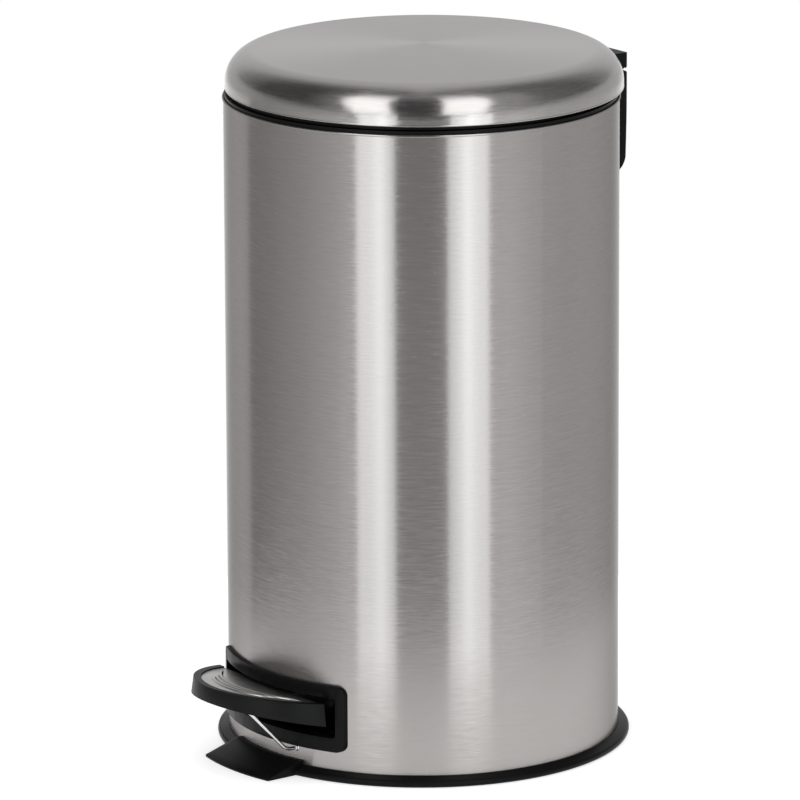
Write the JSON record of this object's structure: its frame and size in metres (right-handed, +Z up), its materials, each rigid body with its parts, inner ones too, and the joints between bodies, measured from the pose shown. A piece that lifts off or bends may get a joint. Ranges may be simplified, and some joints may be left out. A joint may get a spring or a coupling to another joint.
{
  "type": "pedal bin",
  "caption": "Round brushed steel pedal bin with a domed lid, lift-out inner bucket, and a front pedal that raises the lid through a lever and push rod.",
  "frame": {"origin": "on the floor at the axis of the round body", "axes": "+Z up along the body's axis, -Y towards the pedal, +X to the right of the hinge seen from the pedal's side"},
  "size_m": [0.3088, 0.3575, 0.5251],
  "materials": {
    "shell_steel": "brushed round the body, satin",
    "lid_steel": "spun brushed, satin",
    "tread_steel": "satin, polished ribs",
    "wire_steel": "bright drawn",
    "zinc_steel": "zinc plated",
    "black_plastic": "fine satin",
    "pedal_plastic": "satin",
    "bucket_plastic": "matt",
    "white_nylon": "satin",
    "buffer_rubber": "matt"
  },
  "bodies": {
    "bin": {"body_shell": "shell_steel", "base_ring": "black_plastic", "base_plate": "black_plastic", "base_screws": "zinc_steel", "stabiliser_foot": "black_plastic", "pedal_surround": "black_plastic", "axle_bracket": "zinc_steel", "bracket_screws": "zinc_steel", "pedal_axle": "zinc_steel", "axle_clips": "zinc_steel", "axle_spacers": "white_nylon", "return_spring": "wire_steel", "rod_guides": "black_plastic", "rim_ring": "black_plastic", "lid_buffers": "buffer_rubber", "bucket": "bucket_plastic", "bucket_bail": "zinc_steel", "bail_grip": "black_plastic", "hinge_housing": "black_plastic", "hinge_pin": "zinc_steel", "housing_screws": "zinc_steel"},
    "lid": {"lid_shell": "lid_steel", "lid_liner": "black_plastic", "hinge_cap": "black_plastic", "cap_screws": "zinc_steel", "lid_crank": "zinc_steel", "crank_screws": "zinc_steel"},
    "rod": {"push_rod": "zinc_steel", "rod_clips": "white_nylon"},
    "pedal": {"pedal_frame": "pedal_plastic", "pedal_tread": "tread_steel", "pedal_lever": "zinc_steel", "pedal_screws": "zinc_steel"}
  },
  "joints": [
    {"name": "lid_hinge", "type": "hinge", "parent": "bin", "child": "lid", "pos_m": [0, 0.1567, 0.4925], "axis": [-1, 0, 0], "range_deg": [0, 75]},
    {"name": "rod_slide", "type": "slide", "parent": "bin", "child": "rod", "axis": [0, 0, 1], "range_m": [0, 0.0294]},
    {"name": "pedal_pivot", "type": "hinge", "parent": "bin", "child": "pedal", "pos_m": [0, -0.08, 0.042], "axis": [1, 0, 0], "range_deg": [0, 7.75], "deforming": ["return_spring"]}
  ],
  "couplings": [
    {"joint": "rod_slide", "follows": "lid_hinge", "m_per_rad": 0.02244},
    {"joint": "pedal_pivot", "follows": "lid_hinge", "ratio": 0.10289}
  ]
}
